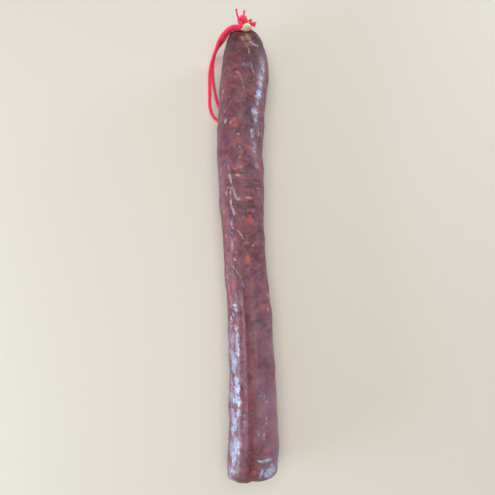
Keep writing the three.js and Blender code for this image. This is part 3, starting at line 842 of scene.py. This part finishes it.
# Painted shade: wine-dark in the valley beside the crest and on the blunt end's underside, which turns
# away from the lights.
valley_shade = bell(degrees - crest + 9, 6) * smooth(0, -60, y) * smooth(-205, -190, y)
end_shade = bell(degrees - 105, 42) * bell(skin_y + 214, 5)
masks["wine"] = np.maximum(valley_shade, end_shade) * half_patchy
masks["freckled"] = bell(degrees - 148, 24) * smooth(-115, -70, y) * smooth(75, 30, y)
signed = (degrees + 180) % 360 - 180
right_haze = sum(
    strength * smooth(high, low, signed) * smooth(start, stop, y)
    for strength, high, low, start, stop in RIGHT_HAZE
)
right_haze = right_haze * smooth(-85, -5, signed + 12 * lumps(plain, 9, 1.5, 15))
upper_haze = 0.7 * bell(degrees - 150, 20) * bell(y - 45, 38)
waist_haze = 0.8 * bell(degrees - 128, 18) * bell(y + 22, 26) * half_patchy
masks["haze"] = right_haze + upper_haze + waist_haze
masks["stub"] = smooth(3.36, 3.52, stretch)[:, None] * np.ones_like(degrees)
# Tan towards the stub's front and left: its own colour, and on its lower front partly painted shade.
stub_front = smooth(213.4, 208.8, skin_y)
stub_left = smooth(0, -4.0, surface[..., 0])
masks["tan"] = np.maximum(stub_front, 0.8 * stub_left) * masks["stub"]
print({key: round(float(mask.mean()), 3) for key, mask in masks.items()})

# %% Sausage piece
flat_masks = {kind: np.append(mask, [mask[0, 0], mask[-1, 0]]) for kind, mask in masks.items()}
skin_parts = skin(surface, blunt_pole, stub_pole)
sausage = piece("sausage_skin", skin_parts, ["sausage"], flat_masks)

# %% [markdown]
# ## Shader maths as expressions
#
# A finish is a web of small nodes. Written out one by one it is unreadable, so a value is wrapped
# in a class whose plus, minus and times add the Math nodes themselves. Anything else goes through
# one method that takes the node's type, its inputs and its settings.

# %% The wrapper
class Value:
    """A node's output socket, with arithmetic that adds Math nodes."""

    def __init__(self, finish, socket):
        self.finish = finish
        self.socket = socket

    def math(self, operation, *others):
        return self.finish.node("Math", enumerate((self, *others)), operation=operation)

    def __add__(self, other):
        return self.math("ADD", other)

    __radd__ = __add__

    def __mul__(self, other):
        return self.math("MULTIPLY", other)

    def __sub__(self, other):
        return self.math("SUBTRACT", other)

    def __rsub__(self, other):
        return self.finish.node("Math", {0: other, 1: self}, operation="SUBTRACT")

    def between(self, low, high, start=0.0, stop=1.0):
        """start below low, stop above high, and a smooth step from one to the other."""
        inputs = {"Value": self, "From Min": low, "From Max": high, "To Min": start, "To Max": stop}
        return self.finish.node("MapRange", inputs, interpolation_type="SMOOTHSTEP")


class Finish:
    """A material with one Principled shader, built from nodes."""

    def __init__(self, name, **constants):
        self.material = bpy.data.materials.new(name)
        self.material.use_nodes = True
        self.tree = self.material.node_tree
        self.shader = self.tree.nodes["Principled BSDF"]
        for socket, value in constants.items():
            self.shader.inputs[socket.replace("_", " ")].default_value = value

    def node(self, kind, inputs=(), output=0, **settings):
        made = self.tree.nodes.new("ShaderNode" + kind)
        for key, value in settings.items():
            setattr(made, key, value)
        for socket, value in dict(inputs).items():
            self.feed(made.inputs[socket], value)
        return Value(self, made.outputs[output])

    def feed(self, socket, value):
        if isinstance(value, Value):
            self.tree.links.new(value.socket, socket)
        elif hasattr(socket.default_value, "__len__") and len(socket.default_value) == 4:
            socket.default_value = (*value, 1.0)
        else:
            socket.default_value = value

    def blend(self, factor, first, second):
        """first where factor is 0, second where it is 1, as colours."""
        return self.node("Mix", {0: factor, 6: first, 7: second}, output=2, data_type="RGBA")

    def layers(self, colour, *rows):
        """Rows of amount and tint, each blended over what lies below it."""
        for amount, tint in rows:
            colour = self.blend(amount, colour, tint)
        return colour

    def squeezed(self, vector, factors):
        """A vector multiplied by a factor along each axis."""
        return self.node("VectorMath", {0: vector, 1: factors}, operation="MULTIPLY")

    def place(self, x=1.0, y=1.0, z=1.0):
        """Object coordinates, squeezed along each axis."""
        return self.squeezed(self.node("TexCoord", output="Object"), (x, y, z))

    def noise(self, size, place=None, detail=3.0, rough=0.55, distortion=0.0):
        """Noise with blobs about size mm across, from 0 to 1."""
        inputs = {
            "Vector": place or self.place(), "Scale": 1 / (size * MM), "Detail": detail,
            "Roughness": rough, "Distortion": distortion,
        }
        return self.node("TexNoise", inputs)

    def mark(self, name, output="Fac"):
        """Numbers that were stored on the mesh's points."""
        return self.node("Attribute", output=output, attribute_name=name)

    def bump(self, height, depth, under=None):
        """A Bump node of depth mm, on top of another where given."""
        inputs = {"Height": height, "Distance": depth * MM}
        if under:
            inputs["Normal"] = under
        return self.node("Bump", inputs)

    def finish(self, **sockets):
        for socket, value in sockets.items():
            self.feed(self.shader.inputs[socket.replace("_", " ")], value)
        return self.material


# %% [markdown]
# ## Casing finish
#
# Under a thin, dry skin lies dark red meat, marbled with fat. The skin adds a greyish lilac veil,
# and where it has lifted off the meat it is milky; there a painted highlight stands in for the light
# it catches. So the colour is laid down in that order: lean meat and its marbling, orange and yellow
# fat, dark grains with broad patches of painted shade, the veil with its mottling and haze, freckles,
# veins, milky patches, the painted highlight on the facet and the crest, the painted shade in the
# valley and under the blunt end, and the neck and the stub, tan partly as painted shade, last. Marks
# crumble at their edges, because the grain is added before the step. The gloss follows: smooth
# where the skin is tight or lifted, duller where it is wrinkled.

# %% Grain of the casing
casing = Finish("cured_casing", IOR=1.45, Specular_IOR_Level=0.36, Coat_Roughness=0.24, Coat_IOR=1.5)
broad = casing.noise(26, detail=2)
cloudy = casing.noise(9, detail=4, rough=0.6, distortion=0.4)
grainy = casing.noise(2.6, detail=4, rough=0.6)
fine_grain = casing.noise(0.8, detail=3, rough=0.6)
fibrous = casing.noise(1.6, casing.place(y=0.12), detail=3)
marbled = casing.noise(4.4, detail=4, rough=0.62, distortion=1.3)
mottled = casing.noise(6, detail=4, rough=0.62, distortion=0.9)
crumbled = (grainy - 0.5) * 2.2 + (fine_grain - 0.5) * 1.6
mark = {name: casing.mark(name) for name in masks}


def crumbly(mask, grain, low, high, faint, full):
    """A mask with crumbled edges, which stays empty where the plain mask is faint."""
    return (mask + crumbled * grain).between(low, high) * mask.between(faint, full)


print("masks read:", len(mark))

# %% Meat and fat
lean = casing.layers(
    casing.blend(cloudy.between(0.35, 0.65), (0.095, 0.022, 0.032), (0.205, 0.058, 0.072)),
    (grainy.between(0.42, 0.72, 0, 0.6), (0.27, 0.08, 0.075)),
    (fine_grain.between(0.5, 0.8, 0, 0.4), (0.07, 0.016, 0.026)),
    (marbled.between(0.54, 0.72, 0, 0.45), (0.35, 0.12, 0.11)),
    (marbled.between(0.28, 0.46, 0.4, 0), (0.08, 0.019, 0.034)),
)
small_fat = casing.noise(3.4, detail=2, rough=0.5).between(0.6, 0.72, 0, 0.6)
orange = crumbly(mark["orange"], 0.5, 0, 1.25, 0, 0.5)
yellow = crumbly(mark["yellow"], 0.5, 0.15, 1.3, 0.1, 0.6)
dark = crumbly(mark["dark"], 0.6, 0.1, 1.1, 0, 0.4)
colour = casing.layers(
    lean,
    (small_fat * cloudy.between(0.4, 0.62), (0.38, 0.115, 0.08)),
    (mark["dome"] * cloudy.between(0.25, 0.6, 1, 0.65) * 0.85, (0.06, 0.028, 0.028)),
    (orange * 0.84, (0.45, 0.1, 0.082)),
    (yellow * 0.9, (0.74, 0.31, 0.15)),
    # Dark spots, with broad patches of painted shade.
    (dark * 0.9, (0.04, 0.022, 0.032)),
)
print("nodes so far:", len(casing.tree.nodes))

# %% Veil, veins, milky patches, painted highlights and painted shade
veil = broad.between(0.3, 0.7, 0.02, 0.2) + fine_grain.between(0.4, 0.7, -0.04, 0.08)
veil = veil * (1 - yellow) * (1 - mark["dome"] * 0.7)
off_dome = 1 - mark["dome"] * 0.5
freckles = casing.noise(1.3, detail=1).between(0.58, 0.68, 0, 0.85) * mark["freckled"]
pale = crumbly(mark["pale"].math("MAXIMUM", mark["vein"]), 0.8, 0, 1.2, 0, 0.5)
bloom = (mark["bloom"] + crumbled).between(0, 1.2, 0, 0.85) * mark["bloom"]
lifted = crumbly(mark["lifted"], 1, 0.05, 1.35, 0, 0.5)
colour = casing.layers(
    colour,
    (veil, (0.185, 0.12, 0.195)),
    (mottled.between(0.5, 0.68, 0, 0.38) * off_dome * (1 - orange), (0.27, 0.142, 0.21)),
    (mottled.between(0.3, 0.46, 0.38, 0), (0.09, 0.02, 0.034)),
    (mark["haze"] * broad.between(0.3, 0.7, 0.2, 0.45), (0.3, 0.165, 0.22)),
    (freckles, (0.52, 0.07, 0.06)),
    (pale * 0.68, (0.54, 0.44, 0.46)),
    # Painted highlight on the facet beside the fold.
    (bloom, (0.36, 0.33, 0.47)),
    # Milky casing, its pale blue partly a painted highlight in the windows' tint.
    (lifted * 0.9, (0.46, 0.53, 0.72)),
    # Painted highlight on the crest.
    (mark["ridge"] * 0.55, (0.42, 0.34, 0.44)),
    # Painted shade in the valley and under the blunt end.
    (mark["wine"] * 0.55, (0.2, 0.026, 0.042)),
    (mark["neck"] * 0.92, (0.42, 0.22, 0.14)),
)
stub_cream = casing.layers(
    casing.blend(fibrous.between(0.35, 0.7), (1, 0.93, 0.76), (0.86, 0.7, 0.5)),
    # Tan, partly painted shade on the stub's lower front.
    (mark["tan"] * 0.85, (0.52, 0.29, 0.18)),
)
colour = casing.blend(mark["stub"], colour, stub_cream)
print("nodes so far:", len(casing.tree.nodes))

# %% Gloss
glossy = lifted.math("MAXIMUM", bloom * 0.7)
roughness = fine_grain.between(0.3, 0.7, 0.3, 0.48) + (1 - glossy) * 0.08
roughness = roughness + mark["neck"] * 0.3 + mark["dome"] * (1 - glossy) * 0.12
coat = (0.12 + glossy * 0.38) * (1 - mark["neck"]) * off_dome
pores = casing.bump(fine_grain, 0.07, casing.bump(grainy, 0.32))
casing.finish(Base_Color=colour, Roughness=roughness, Normal=pores, Coat_Weight=coat)
sausage.data.materials.append(casing.material)
print("casing nodes:", len(casing.tree.nodes))

# %% [markdown]
# ## String finish
#
# Red cotton, dyed through. Its fibres run along each yarn, so the noise is read not from space but
# from the yarn places stored on the points: round the twist and, squeezed, along it. The grooves
# between the yarns are darker by themselves, and a little sheen gives the soft halo of loose
# fibres.

# %% String
FIBRE_SQUEEZE, FIBRE_SCALE = 0.35, 7.0

string = Finish("red_cotton_string", Sheen_Weight=0.35, Sheen_Roughness=0.5, Specular_IOR_Level=0.25)
fibre_place = string.squeezed(string.mark("yarn", "Vector"), (1, 1, FIBRE_SQUEEZE))
strands = string.node("TexNoise", {"Vector": fibre_place, "Scale": FIBRE_SCALE, "Detail": 3})
dye = string.noise(5, detail=2)
red = string.blend(strands.between(0.3, 0.7), (0.7, 0.01, 0.052), (1, 0.042, 0.14))
red = string.blend(dye.between(0.35, 0.75, 0, 0.3), red, (1, 0.085, 0.185))
string_material = string.finish(Base_Color=red, Roughness=0.85, Normal=string.bump(strands, 0.12))
for made in [hanging_loop, tie, knot, fuzz] + end_pieces:
    made.data.materials.append(string_material)
print("string pieces:", 4 + len(end_pieces))

# %% [markdown]
# ## Studio
#
# The sausage lies on a plain pale floor. In the photograph one window lights it from the right and
# behind, another from the left and in front. Two large soft lights stand there, low enough that the
# flanks mirror them, and a broad weak one overhead fills in.

# %% Floor and lights
FLOOR_HALF = 4  # metres
floor_mesh = bpy.data.meshes.new("floor")
corners = [(x * FLOOR_HALF, y * FLOOR_HALF, 0) for x, y in [(-1, -1), (1, -1), (1, 1), (-1, 1)]]
floor_mesh.from_pydata(corners, [], [(0, 1, 2, 3)])
floor = bpy.data.objects.new("floor", floor_mesh)
scene.collection.objects.link(floor)
floor_finish = Finish("pale_floor", Roughness=0.9, Specular_IOR_Level=0.2)
floor_mesh.materials.append(floor_finish.finish(Base_Color=(0.74, 0.69, 0.60)))


def soft_light(name, place, size, power, tint):
    """A rectangular lamp, in metres, turned towards the middle of the sausage."""
    data = bpy.data.lights.new(name, "AREA")
    data.shape = "RECTANGLE"
    data.size = size[0]
    data.size_y = size[1]
    data.energy = power
    data.color = tint
    lamp = bpy.data.objects.new(name, data)
    lamp.location = place
    towards = -np.array(place) / np.linalg.norm(place)
    lamp.rotation_euler = Vector(towards).to_track_quat("-Z", "Y").to_euler()
    scene.collection.objects.link(lamp)


soft_light("right_window", (0.85, 0.66, 0.15), (0.42, 0.16), 6.0, (0.66, 0.82, 1.0))
soft_light("left_window", (-0.90, -0.36, 0.18), (0.60, 0.25), 8.5, (0.70, 0.84, 1.0))
soft_light("overhead", (0.0, 0.2, 1.5), (1.6, 1.6), 17.0, (1.0, 0.97, 0.93))
world = bpy.data.worlds.new("soft_room")
world.use_nodes = True
sky = world.node_tree.nodes["Background"].inputs
sky["Color"].default_value = (0.95, 0.96, 1.0, 1.0)
sky["Strength"].default_value = 0.36
scene.world = world
